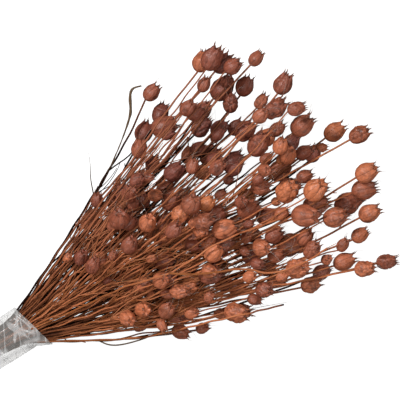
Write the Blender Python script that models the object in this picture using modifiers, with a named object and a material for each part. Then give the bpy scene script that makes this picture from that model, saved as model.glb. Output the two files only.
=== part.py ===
"""A bunch of dried nigella seed pods, lying on a surface, its stems gathered in a clear film wrap.

The bunch lies along +X with +Z up: the cut ends are at -X and the pods fan out towards +X. The origin is
on the wrap's flat underside, where the bunch rests. Lengths are in metres.
"""

import math
import random

import bmesh
import bpy
import numpy as np
from mathutils import Matrix, Vector

SEED = 7

# Stems side by side inside the wrap
STEM_COUNT = 54
STEM_PITCH = 0.0033
BUNDLE_HALF_WIDTH = 0.0175
BUNDLE_HALF_HEIGHT = 0.0088
SLOT_ROWS = 4
SLOT_COLUMNS = 8
STEM_RADIUS = 0.00132
TIP_RADIUS = 0.00090
CUT_END_X = -0.100
CUT_END_SPREAD = 0.009
FAN_START_X = 0.008

# Pods that lie uppermost: angle from the bunch's axis in degrees, distance from the tie and radius in mm
TIE_X = 0.0035
UPPER_PODS = (
    (29, 248, 7.7), (24, 139, 6.3), (23, 229, 10.6), (23, 296, 8.6), (21, 306, 9.2), (20, 255, 7.4),
    (18, 288, 10.6), (17, 329, 6.8), (17, 88, 7.2), (15, 204, 9.0), (15, 304, 8.4), (13, 145, 8.6),
    (11, 329, 9.0), (10, 275, 9.6), (9, 307, 9.9), (5, 130, 8.1), (5, 246, 7.0), (4, 317, 9.9),
    (0, 340, 9.0), (-1, 207, 8.6), (-2, 357, 8.6), (-4, 280, 9.6), (-5, 146, 8.1), (-6, 248, 8.6),
    (-8, 347, 9.2), (-8, 294, 10.6), (-9, 338, 9.9), (-11, 321, 11.4), (-13, 336, 9.0), (-15, 259, 11.0),
    (-16, 322, 7.2), (-17, 232, 9.0), (-20, 169, 9.6), (-20, 303, 9.0), (-21, 339, 8.1), (-23, 269, 8.1),
    (-24, 200, 9.6), (-27, 150, 9.0), (-31, 167, 5.6),
)

# The fan of the other stems
FAN_HALF_ANGLE = 27
FAN_JITTER = 2.0
REACH = 0.330
REACH_SHARE = (0.66, 0.96)
EDGE_ANGLES = (18, 29)
EDGE_SHRINK = 0.22
LOW_EDGE_ANGLES = (21, 29)
LOW_EDGE_SHRINK = 0.5
RISE_ANGLE = math.radians(17)
RISE_JITTER = math.radians(1.0)
DOME_FLATNESS = 0.8
BOW_SHARE = (-0.045, 0.012)
FREE_POINTS = 7
SPACING_POWER = 1.25

# Side shoots and pods
SIDE_SHOOTS = 80
BARE_SHOOTS = 5
SIDE_POINTS = 3
SIDE_LENGTH = (0.040, 0.120)
SIDE_LEAST_LENGTH = 0.032
SIDE_FORKS = (3, 6)
SIDE_EDGE_ANGLE = 17
SIDE_ANGLE = (math.radians(12), math.radians(26))
SIDE_STRAIGHTENING = 0.75
SIDE_FLATNESS = 0.6
SIDE_RADIUS_SHARE = 0.68
MAIN_POD_RADIUS = (0.0072, 0.0104)
SIDE_POD_RADIUS = (0.0045, 0.0088)
SMALL_POD_RADIUS = 0.0083
POD_CORE_SHARE = 0.68
POD_CLEAR_SHARE = 1.04

# Easing the stems apart
CLEARANCE = 0.0006
EASE_STEPS = 420
EASE_LAST_STEPS = 120
EASE_GAIN = 1.4
PUSH_SHARE = 0.6
BEND_STIFFNESS = 0.5
LAST_STIFFNESS = 0.1
SEARCH_EVERY = 10
NEARBY = 0.012

# Film wrap
FILM_THICKNESS = 0.0006
FILM_GAP = 0.0005
FILM_BACK_X = -0.066
FILM_MOUTH_X = 0.015
FILM_MOUTH_SLANT = 0.006
FILM_SAG = 1.06
FILM_FOLD_DEPTH = 0.0010
FILM_FOLDS = ((7, 45), (11, -95))
FILM_AROUND = 28
FILM_ALONG = 7
FILM_TURN = 0.05

# Withered leaf on the outermost stem: its path in shares of its length, along, across and above the stem
LEAF_LENGTH = 0.084
LEAF_FORK = 6
LEAF_PATH = ((0, 0, 0), (0.36, 0.04, 0.03), (0.66, 0.10, 0.07), (0.94, 0.21, 0.12), (1.0, 0.15, 0.10))
LEAF_HALF_WIDTHS = (0.0006, 0.0014, 0.0016, 0.0013, 0.0006)
LEAF_THICKNESS = 0.0007

# A pod in shares of its radius: height, then radius on a lobe's crest and in the groove between lobes
POD_LOBES = 5
POD_RINGS = (
    (0.34, 0.72, 0.64),
    (1.14, 1.00, 0.88),
    (1.90, 0.78, 0.62),
    (2.66, 0.54, 0.30),
)
SMALL_POD_RINGS = (
    (0.55, 0.88, 0.76),
    (1.56, 0.90, 0.72),
    (2.58, 0.52, 0.28),
)
POD_GROOVE_DROP = 0.46
POD_CROWN_HEIGHT = 2.12

WELD = 1e-6
SHARP_ANGLE = math.radians(50)
CENTRE_Z = BUNDLE_HALF_HEIGHT + STEM_RADIUS + FILM_GAP + FILM_THICKNESS
FILM_CLEARANCE = STEM_RADIUS + FILM_GAP + FILM_THICKNESS


class Bunch:
    """Every stem as a chain of points, held together by segments and bends while they are eased apart."""

    def __init__(self):
        self.points = []
        self.held = []
        self.segments = []
        self.bends = []
        self.shoots = []

    def add_point(self, point, held=False):
        self.points.append(point)
        self.held.append(held)
        return len(self.points) - 1

    def add_shoot(self, spray, chain, radii, pod_radius):
        """A stem through the points of chain, thinning from radii[0] to radii[1], with a pod at its end."""
        links = len(chain) - 1
        for k in range(links):
            radius = radii[0] + (radii[1] - radii[0]) * k / links
            self.segments.append((chain[k], chain[k + 1], radius, spray, False))
        if pod_radius:
            last = self.points[chain[-1]]
            along = unit(last - self.points[chain[-2]])
            top = self.add_point(last + along * pod_radius * POD_CORE_SHARE)
            self.segments.append((chain[-1], top, pod_radius * POD_CLEAR_SHARE, spray, True))
            chain = chain + [top]
        for k in range(1, len(chain) - 1):
            self.bends.append((chain[k - 1], chain[k], chain[k + 1]))
        self.shoots.append({"spray": spray, "chain": chain, "radii": radii, "pod": pod_radius})


def unit(vector):
    return vector / np.linalg.norm(vector)


def smoothstep(low, high, value):
    share = min(1.0, max(0.0, (value - low) / (high - low)))
    return share * share * (3 - 2 * share)


def reach_at(degrees):
    """How far the fan reaches at an angle from its axis: less at both edges, and least on the -Y side."""
    shrink = EDGE_SHRINK * smoothstep(*EDGE_ANGLES, degrees)
    low_shrink = LOW_EDGE_SHRINK * smoothstep(*LOW_EDGE_ANGLES, -degrees)
    return REACH * (1 - shrink) * (1 - low_shrink)


def bundle_slots():
    """Hexagonal packing of the stems inside the wrap, as (y, z) from the bundle's centre, from -Y to +Y."""
    slots = []
    for row in range(-SLOT_ROWS, SLOT_ROWS + 1):
        for column in range(-SLOT_COLUMNS, SLOT_COLUMNS + 1):
            y = (column + 0.5 * (row % 2)) * STEM_PITCH
            z = row * STEM_PITCH * math.sqrt(3) / 2
            slots.append((math.hypot(y / BUNDLE_HALF_WIDTH, z / BUNDLE_HALF_HEIGHT), y, z))
    return sorted((y, z) for _, y, z in sorted(slots)[:STEM_COUNT])


def pod_places(slots, draw):
    """For each slot an angle, a distance and a pod radius: the uppermost pods go to the uppermost slots."""
    by_height = sorted(range(STEM_COUNT), key=lambda k: (-slots[k][1], slots[k][0]))
    upper = sorted(by_height[: len(UPPER_PODS)])
    places = {}
    for slot, (degrees, distance, radius) in zip(upper, sorted(UPPER_PODS)):
        places[slot] = (degrees, distance / 1000, radius / 1000)
    for slot in range(STEM_COUNT):
        if slot not in places:
            degrees = FAN_HALF_ANGLE * slots[slot][0] / BUNDLE_HALF_WIDTH + draw.gauss(0, FAN_JITTER)
            distance = reach_at(degrees) * draw.uniform(*REACH_SHARE)
            places[slot] = (degrees, distance, draw.uniform(*MAIN_POD_RADIUS))
    return [places[slot] for slot in range(STEM_COUNT)]


def grow_main_stem(bunch, spray, slot, place, draw):
    """A stem from its cut end, straight through the wrap, then in a slight bow to its pod's place."""
    degrees, distance, pod_radius = place
    azimuth = math.radians(degrees)
    across, up = slot[0] / BUNDLE_HALF_WIDTH, slot[1] / BUNDLE_HALF_HEIGHT
    dome = math.sqrt(max(1 - DOME_FLATNESS, 1 - DOME_FLATNESS * across**2))
    elevation = max(0.0, RISE_ANGLE * dome * (up + 1) / 2 + draw.gauss(0, RISE_JITTER))
    bow = draw.uniform(*BOW_SHARE) * distance
    y, z = slot[0], CENTRE_Z + slot[1]
    cut_x = CUT_END_X + draw.uniform(-CUT_END_SPREAD, CUT_END_SPREAD)
    chain = [bunch.add_point(np.array([x, y, z]), held=True) for x in (cut_x, FAN_START_X)]
    start = np.array([FAN_START_X, y, z])
    rise = z + distance * math.tan(elevation)
    end = np.array([TIE_X + distance * math.cos(azimuth), distance * math.sin(azimuth), rise])
    aside = np.array([-math.sin(azimuth), math.cos(azimuth), 0])
    for k in range(1, FREE_POINTS + 1):
        share = (k / FREE_POINTS) ** SPACING_POWER
        bowed = 4 * share * (1 - share) * bow
        chain.append(bunch.add_point(start + (end - start) * share + aside * bowed))
    bunch.add_shoot(spray, chain, (STEM_RADIUS, TIP_RADIUS), pod_radius)
    return chain


def grow_side_shoot(bunch, spray, parent, bare, draw):
    """A thinner shoot that forks off a main stem, then turns back towards the way the stem is going."""
    fork = draw.randint(*SIDE_FORKS)
    start, after = bunch.points[parent[fork]], bunch.points[parent[fork + 1]]
    along = unit(after - start)
    turn = draw.uniform(0, 2 * math.pi)
    side = unit(np.cross(along, [0, 0, 1]))
    degrees = math.degrees(math.atan2(start[1], start[0] - TIE_X))
    sideways = math.cos(turn)
    if abs(degrees) > SIDE_EDGE_ANGLE:
        sideways = math.copysign(sideways, degrees)
    outward = sideways * side + SIDE_FLATNESS * math.sin(turn) * np.cross(side, along)
    room = reach_at(degrees) - math.hypot(start[0] - TIE_X, start[1])
    length = max(SIDE_LEAST_LENGTH, min(room, draw.uniform(*SIDE_LENGTH)))
    angle = draw.uniform(*SIDE_ANGLE)
    chain, here = [parent[fork]], start
    for k in range(SIDE_POINTS):
        leaning = math.tan(angle) * (1 - SIDE_STRAIGHTENING * k / (SIDE_POINTS - 1))
        here = here + unit(along + outward * leaning) * length / SIDE_POINTS
        chain.append(bunch.add_point(here))
    bunch.bends.append((parent[fork - 1], parent[fork], chain[1]))
    stem_here = STEM_RADIUS + (TIP_RADIUS - STEM_RADIUS) * fork / (FREE_POINTS + 1)
    pod_radius = draw.uniform(*SIDE_POD_RADIUS)
    bunch.add_shoot(spray, chain, (stem_here * SIDE_RADIUS_SHARE, TIP_RADIUS), 0 if bare else pod_radius)


def grow_bunch():
    draw = random.Random(SEED)
    bunch = Bunch()
    slots = bundle_slots()
    places = pod_places(slots, draw)
    mains = []
    for spray in range(STEM_COUNT):
        mains.append(grow_main_stem(bunch, spray, slots[spray], places[spray], draw))
    for number, spray in enumerate(draw.sample(list(range(STEM_COUNT)) * 2, SIDE_SHOOTS)):
        grow_side_shoot(bunch, spray, mains[spray], number < BARE_SHOOTS, draw)
    return bunch


def closest_shares(a0, a1, b0, b1):
    """How far along the segments a0-a1 and b0-b1, from 0 to 1, they come closest to each other."""
    a, b, gap = a1 - a0, b1 - b0, a0 - b0
    aa, ab, bb = (a * a).sum(1), (a * b).sum(1), (b * b).sum(1)
    ag, bg = (a * gap).sum(1), (b * gap).sum(1)
    s = np.clip((ab * bg - bb * ag) / np.maximum(aa * bb - ab * ab, 1e-18), 0, 1)
    t = np.clip((ab * s + bg) / bb, 0, 1)
    s = np.clip((ab * t - ag) / aa, 0, 1)
    return s, t


def pairs_in_reach(points, ends, radii, sprays, pods):
    """Pairs of segments that could meet: of two sprays, or of one where a pod could meet its own stems."""
    middle = (points[ends[:, 0]] + points[ends[:, 1]]) / 2
    size = np.linalg.norm(points[ends[:, 0]] - points[ends[:, 1]], axis=1) / 2 + radii
    first, second = np.triu_indices(len(ends), 1)
    near = ((middle[first] - middle[second]) ** 2).sum(1) < (size[first] + size[second] + NEARBY) ** 2
    first, second = first[near], second[near]
    shared = (ends[first][:, :, None] == ends[second][:, None, :]).any((1, 2))
    meeting = (sprays[first] != sprays[second]) | pods[first] | pods[second]
    return first[meeting & ~shared], second[meeting & ~shared]


def ease_apart(bunch):
    """Moves the free points until no two stems or pods touch, while stems keep their lengths and curves."""
    points = np.array(bunch.points)
    free = ~np.array(bunch.held)
    ends = np.array([s[:2] for s in bunch.segments])
    radii = np.array([s[2] for s in bunch.segments])
    sprays = np.array([s[3] for s in bunch.segments])
    pods = np.array([s[4] for s in bunch.segments])
    bends = np.array(bunch.bends)
    lengths = np.linalg.norm(points[ends[:, 0]] - points[ends[:, 1]], axis=1)
    curve = points[bends[:, 1]] - (points[bends[:, 0]] + points[bends[:, 2]]) / 2
    lowest = np.zeros(len(points))
    np.maximum.at(lowest, ends.ravel(), np.repeat(radii, 2))
    for step in range(EASE_STEPS):
        if step % SEARCH_EVERY == 0:
            first, second = pairs_in_reach(points, ends, radii, sprays, pods)
        shift, count = np.zeros_like(points), np.zeros(len(points))

        def pull(index, move):
            np.add.at(shift, index, move)
            np.add.at(count, index, np.linalg.norm(move, axis=1) > 0)

        a0, a1 = ends[first].T
        b0, b1 = ends[second].T
        s, t = closest_shares(points[a0], points[a1], points[b0], points[b1])
        here = points[a0] * (1 - s)[:, None] + points[a1] * s[:, None]
        there = points[b0] * (1 - t)[:, None] + points[b1] * t[:, None]
        apart = np.linalg.norm(here - there, axis=1)
        short = radii[first] + radii[second] + CLEARANCE - apart
        hit = short > 0
        push = (here - there)[hit] / apart[hit, None] * short[hit, None] * PUSH_SHARE
        pull(a0[hit], push * (1 - s)[hit, None])
        pull(a1[hit], push * s[hit, None])
        pull(b0[hit], push * (t - 1)[hit, None])
        pull(b1[hit], push * -t[hit, None])
        stiff = BEND_STIFFNESS if step < EASE_STEPS - EASE_LAST_STEPS else LAST_STIFFNESS
        error = curve - (points[bends[:, 1]] - (points[bends[:, 0]] + points[bends[:, 2]]) / 2)
        pull(bends[:, 1], error * stiff)
        pull(bends[:, 0], error * -stiff / 2)
        pull(bends[:, 2], error * -stiff / 2)
        span = points[ends[:, 1]] - points[ends[:, 0]]
        stretch = span * (1 - lengths / np.linalg.norm(span, axis=1))[:, None] / 2
        pull(ends[:, 0], stretch)
        pull(ends[:, 1], -stretch)
        points += np.where(free[:, None], shift / np.maximum(count, 1)[:, None] * EASE_GAIN, 0)
        points[:, 2] = np.where(free, np.maximum(points[:, 2], lowest), points[:, 2])
    return points


def mesh_object(name, mesh):
    obj = bpy.data.objects.new(name, mesh)
    bpy.context.scene.collection.objects.link(obj)
    return obj


def mesh_from(name, shape):
    """An object that holds a bmesh's shape, with its normals facing out."""
    bmesh.ops.remove_doubles(shape, verts=shape.verts, dist=WELD)
    bmesh.ops.recalc_face_normals(shape, faces=shape.faces)
    mesh = bpy.data.meshes.new(name)
    shape.to_mesh(mesh)
    shape.free()
    return mesh_object(name, mesh)


def as_mesh(obj):
    """Swaps an object for a plain mesh of what it evaluates to, with a curve's loose caps welded on."""
    bpy.context.view_layer.update()
    evaluated = obj.evaluated_get(bpy.context.evaluated_depsgraph_get())
    shape = bmesh.new()
    shape.from_mesh(bpy.data.meshes.new_from_object(evaluated))
    name = obj.name
    bpy.data.objects.remove(obj)
    return mesh_from(name, shape)


def stem_solid(points, radii):
    """A four-sided stem along points, thinning evenly from radii[0] to radii[1]."""
    curve = bpy.data.curves.new("stem", "CURVE")
    curve.dimensions = "3D"
    curve.bevel_depth = 1.0
    curve.bevel_resolution = 0
    curve.use_fill_caps = True
    spline = curve.splines.new("POLY")
    spline.points.add(len(points) - 1)
    for knot, point, radius in zip(spline.points, points, np.linspace(*radii, len(points))):
        knot.co = (*point, 1)
        knot.radius = radius
    return as_mesh(mesh_object("stem", curve))


def pod_solid(base, along, radius, turn):
    """A seed pod: five swollen lobes with a groove between each two, and a crown of five horns."""
    shape = bmesh.new()
    profile = POD_RINGS if radius > SMALL_POD_RADIUS else SMALL_POD_RINGS
    rings = len(profile)
    bmesh.ops.create_uvsphere(shape, u_segments=2 * POD_LOBES, v_segments=rings + 1, radius=1)
    for vert in shape.verts:
        ring = round(math.acos(max(-1, min(1, -vert.co.z))) / math.pi * (rings + 1))
        if ring in (0, rings + 1):
            vert.co = (0, 0, POD_CROWN_HEIGHT if ring else 0)
            continue
        height, crest, groove = profile[ring - 1]
        azimuth = math.atan2(vert.co.y, vert.co.x)
        on_crest = math.cos(POD_LOBES * azimuth) > 0
        if ring == rings and not on_crest:
            height -= POD_GROOVE_DROP
        width = crest if on_crest else groove
        vert.co = (width * math.cos(azimuth), width * math.sin(azimuth), height)
    pose = Vector(along).to_track_quat("Z", "Y").to_matrix().to_4x4()
    place = Matrix.Translation(Vector(base)) @ pose @ Matrix.Rotation(turn, 4, "Z")
    shape.transform(place @ Matrix.Scale(radius, 4))
    return mesh_from("pod", shape)


def leaf_solid(base, along):
    """A withered strap leaf that leaves its stem at base, stands off it and hooks over at the tip."""
    aside = unit(np.cross([0, 0, 1], along))
    up = np.cross(along, aside)
    path = [base + LEAF_LENGTH * (along * a + aside * b + up * c) for a, b, c in LEAF_PATH]
    shape = bmesh.new()
    bmesh.ops.create_grid(shape, x_segments=1, y_segments=len(path) - 1, size=1)
    for vert in shape.verts:
        k = round((vert.co.y + 1) / 2 * (len(path) - 1))
        ahead = unit(path[min(k + 1, len(path) - 1)] - path[max(k - 1, 0)])
        edge = unit(np.cross(ahead, up)) * math.copysign(LEAF_HALF_WIDTHS[k], vert.co.x)
        vert.co = path[k] + edge
    bmesh.ops.triangulate(shape, faces=shape.faces)
    leaf = mesh_from("leaf", shape)
    thicken = leaf.modifiers.new("thickness", "SOLIDIFY")
    thicken.thickness = LEAF_THICKNESS
    thicken.offset = 0
    return as_mesh(leaf)


def fuse(name, solids):
    """One closed body, by a union of the first solid with a collection of the others."""
    base, others = solids[0], solids[1:]
    joining = bpy.data.collections.new("joining")
    bpy.context.scene.collection.children.link(joining)
    for other in others:
        bpy.context.scene.collection.objects.unlink(other)
        joining.objects.link(other)
    union = base.modifiers.new("union", "BOOLEAN")
    union.operation = "UNION"
    union.operand_type = "COLLECTION"
    union.collection = joining
    union.solver = "EXACT"
    fused = as_mesh(base)
    for other in others:
        bpy.data.objects.remove(other)
    bpy.data.collections.remove(joining)
    fused.name = name
    return fused


def spray_solid(spray, bunch, points, draw):
    """One stem with its side shoots, pods and leaf, fused."""
    solids = []
    for shoot in bunch.shoots:
        if shoot["spray"] != spray:
            continue
        chain = [points[k] for k in shoot["chain"]]
        if shoot["pod"]:
            along = unit(chain[-1] - chain[-2])
            base = chain[-2] - along * shoot["pod"]
            solids.append(stem_solid(chain[:-1], shoot["radii"]))
            solids.append(pod_solid(base, along, shoot["pod"], draw.uniform(0, math.pi)))
        else:
            solids.append(stem_solid(chain, shoot["radii"]))
    if spray == STEM_COUNT - 1:
        chain = bunch.shoots[spray]["chain"]
        base, after = points[chain[LEAF_FORK]], points[chain[LEAF_FORK + 1]]
        solids.append(leaf_solid(base, unit(after - base)))
    return fuse(f"stem_{spray + 1:02d}", solids)


def film_point(around, share):
    """A point of the wrap's outer face: an oval, flat below, creased, with a slanted mouth."""
    mouth = FILM_MOUTH_X - FILM_MOUTH_SLANT * math.cos(around)
    x = FILM_BACK_X + (mouth - FILM_BACK_X) * share
    flare = max(0.0, x - FAN_START_X)
    half_width = BUNDLE_HALF_WIDTH + FILM_CLEARANCE + flare * math.tan(math.radians(FAN_HALF_ANGLE))
    half_height = CENTRE_Z * FILM_SAG
    if math.sin(around) > 0:
        half_height += flare * math.tan(RISE_ANGLE)
    fold = 0.0
    for folds, twist in FILM_FOLDS:
        fold += FILM_FOLD_DEPTH * (1 + math.sin(folds * around + twist * x)) / 2
    y = (half_width + fold) * math.cos(around)
    z = CENTRE_Z + (half_height + fold) * math.sin(around)
    return x, y, max(0.0, z)


def film_wrap():
    """Thin clear film rolled round the stems as a sleeve open at both ends."""
    shape = bmesh.new()
    bmesh.ops.create_grid(shape, x_segments=FILM_AROUND, y_segments=FILM_ALONG, size=1)
    for vert in shape.verts:
        vert.co = film_point(math.pi * (vert.co.x + FILM_TURN), (vert.co.y + 1) / 2)
    wrap = mesh_from("film_wrap", shape)
    thicken = wrap.modifiers.new("thickness", "SOLIDIFY")
    thicken.thickness = FILM_THICKNESS
    thicken.offset = -1
    return wrap


def material(name, colour, roughness, alpha=1.0):
    made = bpy.data.materials.new(name)
    made.use_nodes = True
    shader = made.node_tree.nodes["Principled BSDF"]
    shader.inputs["Base Color"].default_value = (*colour, 1)
    shader.inputs["Roughness"].default_value = roughness
    shader.inputs["Metallic"].default_value = 0.0
    shader.inputs["Alpha"].default_value = alpha
    return made


def build():
    for obj in list(bpy.data.objects):
        bpy.data.objects.remove(obj)
    bunch = grow_bunch()
    points = ease_apart(bunch)
    draw = random.Random(SEED)
    nodes = [spray_solid(spray, bunch, points, draw) for spray in range(STEM_COUNT)]
    dried = material("dried_plant", (0.30, 0.105, 0.055), 0.7)
    for node in nodes:
        node.data.materials.append(dried)
    wrap = film_wrap()
    wrap.data.materials.append(material("clear_film", (0.80, 0.80, 0.78), 0.12, alpha=0.35))
    holder = bpy.data.collections.new("nigella_bunch")
    bpy.context.scene.collection.children.link(holder)
    for node in nodes + [wrap]:
        node.data.shade_smooth()
        node.data.set_sharp_from_angle(angle=SHARP_ANGLE)
        bpy.context.scene.collection.objects.unlink(node)
        holder.objects.link(node)


if __name__ == "__main__":
    build()
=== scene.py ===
"""The looks of a bunch of dried nigella seed pods: stems, pods, hairs, thread leaves and crumpled film."""

import math
import random
from itertools import combinations
from math import cos, pi, radians, sin, sqrt, tan

import bpy
import numpy as np
from mathutils import Matrix, Vector, noise
from numpy.linalg import norm


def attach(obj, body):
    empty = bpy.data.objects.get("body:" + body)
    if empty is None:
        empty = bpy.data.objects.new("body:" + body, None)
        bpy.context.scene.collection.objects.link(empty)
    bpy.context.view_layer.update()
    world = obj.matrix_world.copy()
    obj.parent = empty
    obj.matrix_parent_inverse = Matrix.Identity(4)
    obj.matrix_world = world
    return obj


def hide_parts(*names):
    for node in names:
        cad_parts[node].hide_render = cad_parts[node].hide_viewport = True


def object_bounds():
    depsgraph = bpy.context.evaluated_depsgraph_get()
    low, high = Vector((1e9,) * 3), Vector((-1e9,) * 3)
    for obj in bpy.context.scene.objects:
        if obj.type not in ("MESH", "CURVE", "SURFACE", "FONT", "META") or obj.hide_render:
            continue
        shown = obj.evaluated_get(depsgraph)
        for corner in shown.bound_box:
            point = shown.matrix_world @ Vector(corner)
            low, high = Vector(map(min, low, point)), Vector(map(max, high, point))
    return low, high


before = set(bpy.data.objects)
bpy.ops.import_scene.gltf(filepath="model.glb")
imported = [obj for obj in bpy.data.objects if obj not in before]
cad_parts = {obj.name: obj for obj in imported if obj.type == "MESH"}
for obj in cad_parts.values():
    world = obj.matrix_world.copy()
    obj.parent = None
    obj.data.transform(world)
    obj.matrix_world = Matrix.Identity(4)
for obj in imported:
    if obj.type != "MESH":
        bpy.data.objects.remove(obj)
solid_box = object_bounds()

SEED = 7

# Stems side by side inside the wrap
STEM_COUNT = 54
STEM_PITCH = 0.0033
BUNDLE_HALF_WIDTH = 0.0175
BUNDLE_HALF_HEIGHT = 0.0088
SLOT_ROWS = 4
SLOT_COLUMNS = 8
STEM_RADIUS = 0.00132
TIP_RADIUS = 0.0009
CUT_END_X = -0.1
CUT_END_SPREAD = 0.009
FAN_START_X = 0.008

# Pods that lie uppermost: angle from the bunch's axis in degrees, distance from the tie and radius in mm
TIE_X = 0.0035
UPPER_PODS = (
    (29, 248, 7.7), (24, 139, 6.3), (23, 229, 10.6), (23, 296, 8.6), (21, 306, 9.2), (20, 255, 7.4),
    (18, 288, 10.6), (17, 329, 6.8), (17, 88, 7.2), (15, 204, 9.0), (15, 304, 8.4), (13, 145, 8.6),
    (11, 329, 9.0), (10, 275, 9.6), (9, 307, 9.9), (5, 130, 8.1), (5, 246, 7.0), (4, 317, 9.9),
    (0, 340, 9.0), (-1, 207, 8.6), (-2, 357, 8.6), (-4, 280, 9.6), (-5, 146, 8.1), (-6, 248, 8.6),
    (-8, 347, 9.2), (-8, 294, 10.6), (-9, 338, 9.9), (-11, 321, 11.4), (-13, 336, 9.0), (-15, 259, 11.0),
    (-16, 322, 7.2), (-17, 232, 9.0), (-20, 169, 9.6), (-20, 303, 9.0), (-21, 339, 8.1), (-23, 269, 8.1),
    (-24, 200, 9.6), (-27, 150, 9.0), (-31, 167, 5.6),
)

# The fan of the other stems
FAN_HALF_ANGLE = 27
FAN_JITTER = 2.0
REACH = 0.33
REACH_SHARE = (0.66, 0.96)
EDGE_ANGLES = (18, 29)
EDGE_SHRINK = 0.22
LOW_EDGE_ANGLES = (21, 29)
LOW_EDGE_SHRINK = 0.5
RISE_ANGLE = radians(17)
RISE_JITTER = radians(1.0)
DOME_FLATNESS = 0.8
BOW_SHARE = (-0.045, 0.012)
FREE_POINTS = 7
SPACING_POWER = 1.25

# Side shoots and pods
SIDE_SHOOTS = 80
BARE_SHOOTS = 5
SIDE_POINTS = 3
SIDE_LENGTH = (0.04, 0.12)
SIDE_LEAST_LENGTH = 0.032
SIDE_FORKS = (3, 6)
SIDE_EDGE_ANGLE = 17
SIDE_ANGLE = (radians(12), radians(26))
SIDE_STRAIGHTENING = 0.75
SIDE_FLATNESS = 0.6
SIDE_RADIUS_SHARE = 0.68
MAIN_POD_RADIUS = (0.0072, 0.0104)
SIDE_POD_RADIUS = (0.0045, 0.0088)
POD_CORE_SHARE = 0.68
POD_CLEAR_SHARE = 1.04

# Easing the stems apart
CLEARANCE = 0.0006
EASE_STEPS = 420
EASE_LAST_STEPS = 120
EASE_GAIN = 1.4
PUSH_SHARE = 0.6
BEND_STIFFNESS = 0.5
LAST_STIFFNESS = 0.1
SEARCH_EVERY = 10
NEARBY = 0.012

# Film wrap
FILM_THICKNESS = 0.0006
FILM_GAP = 0.0005
FILM_BACK_X = -0.066
FILM_MOUTH_X = 0.015
FILM_MOUTH_SLANT = 0.006
FILM_SAG = 1.06
FILM_FOLD_DEPTH = 0.001
FILM_FOLDS = ((7, 45), (11, -95))

# Withered leaf on the outermost stem: its path in shares of its length, along, across and above the stem
LEAF_LENGTH = 0.084
LEAF_FORK = 6
LEAF_PATH = ((0, 0, 0), (0.36, 0.04, 0.03), (0.66, 0.1, 0.07), (0.94, 0.21, 0.12), (1.0, 0.15, 0.1))

POD_LOBES = 5
CENTRE_Z = BUNDLE_HALF_HEIGHT + STEM_RADIUS + FILM_GAP + FILM_THICKNESS
FILM_CLEARANCE = STEM_RADIUS + FILM_GAP + FILM_THICKNESS

# Finer stems
STEM_SIDES = 7
SHOOT_SIDES = 6
STEM_STEP = 0.0055
STEM_THINNING = (0.84, 1.02)
SHOOT_THINNING = (0.98, 0.88)
WAVE = 0.0004
WAVE_LENGTH = 0.03
WAVE_TURNS = (2, 1.4)
WAVE_FADES = (3, 6)
FORK_SWELL = 0.35
FORK_RADII = 3
FIRST_UP = (0.13, 0.31, 0.94)
STUBS_A_STEM = 2
STUB_LENGTH = (0.003, 0.008)
STUB_LEAN = (0.8, 0.6)
STUB_BEND = 0.8
STUB_TAPER = (0.62, 0.42)
STUB_STEPS = 4
STUB_SIDES = 5
TWIGS_A_STEM = 3
TWIG_LENGTH = (0.02, 0.06)
TWIG_RADIUS = 0.0005
TWIG_LEAN = (0.9, 0.42)
TWIG_CURL = (-0.35, 0.25)
TWIG_TAPER = 0.6
TWIG_STEPS = 7
TWIG_SIDES = 4
TWIGS_FROM_X = 0.085
TWIGS_TO_SHARE = 0.72
EDGE_SLOPE = 0.25

# Thin stems between the others, and the photo's further pods at their ends
THIN_PODS = (
    (24, 80, 4.5), (22, 303, 10.4), (21, 255, 7.2), (19, 310, 7.4), (17, 131, 6.3), (14, 176, 6.3),
    (14, 285, 8.1), (13, 143, 9.6), (11, 218, 6.3), (8, 233, 7.2), (8, 322, 7.2), (7, 92, 7.6),
    (6, 156, 8.1), (6, 297, 7.2), (5, 130, 7.8), (5, 276, 10.8), (4, 198, 9.0), (3, 182, 8.1),
    (3, 292, 7.2), (2, 269, 6.3), (0, 293, 8.1), (0, 323, 4.5), (-2, 93, 3.8), (-2, 191, 7.2),
    (-4, 278, 10.8), (-5, 302, 7.2), (-7, 211, 9.6), (-7, 299, 10.4), (-8, 262, 6.3), (-9, 281, 11.6),
    (-11, 192, 8.1), (-11, 236, 8.1), (-11, 308, 9.9), (-12, 246, 7.2), (-14, 182, 9.8), (-18, 278, 8.1),
    (-19, 289, 5.4), (-20, 261, 10.4), (-21, 319, 8.1), (-22, 226, 8.1), (-24, 134, 5.4), (-24, 199, 10.2),
    (-3, 233, 9.2), (-11, 217, 4.8), (-7, 183, 4.2), (-21, 245, 5.4), (-23, 216, 6.0), (-18, 141, 5.0),
    (-6, 266, 4.4), (-14, 276, 7.6),
)
THIN_STEMS = 80
THIN_SHOOTS = 56
THIN_SHARE = (0.66, 1.03)
THIN_BOW = 0.018
THIN_RADIUS = 0.00078
THIN_TIP_RADIUS = 0.0007
THIN_POD_SHARE = 0.25
LOW_POD_SHARE = 0.85
THIN_POD_RADIUS = (0.0044, 0.0082)
THIN_PULL_POWER = 1.5
THIN_WAVE = 0.0007
THIN_HIGHEST = 0.124
THIN_TOP = 0.126
REST_SAMPLES = 9
LOW_START_COST = 12
THIN_PIECES = 4
POD_MIDDLES = (0.6, 1.7)
POD_FLOOR_GAP = 0.0005
NEIGHBOUR_PITCH = 1.1

# Long stems that lie over the others in the photo: their ways across the surface, in mm
OVER_STEMS = (
    ((12, -4.5), (59, -11.3), (108.3, -17), (148.4, -27.2), (201.9, -27.8), (265.9, -39.9)),
    ((148.4, -27.2), (168, -40.5), (195.7, -53.7), (214.6, -64.6), (221.5, -72.9), (237.1, -79.6),
     (256.5, -83.8), (282.2, -83.9)),
    ((10, -17.5), (24, -25.5), (97.4, -66), (174.8, -91.1), (221.7, -108.5)),
)
OVER_RADII = (0.00105, 0.00085)
OVER_STEP = 0.012
OVER_TINT = 0.1

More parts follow.
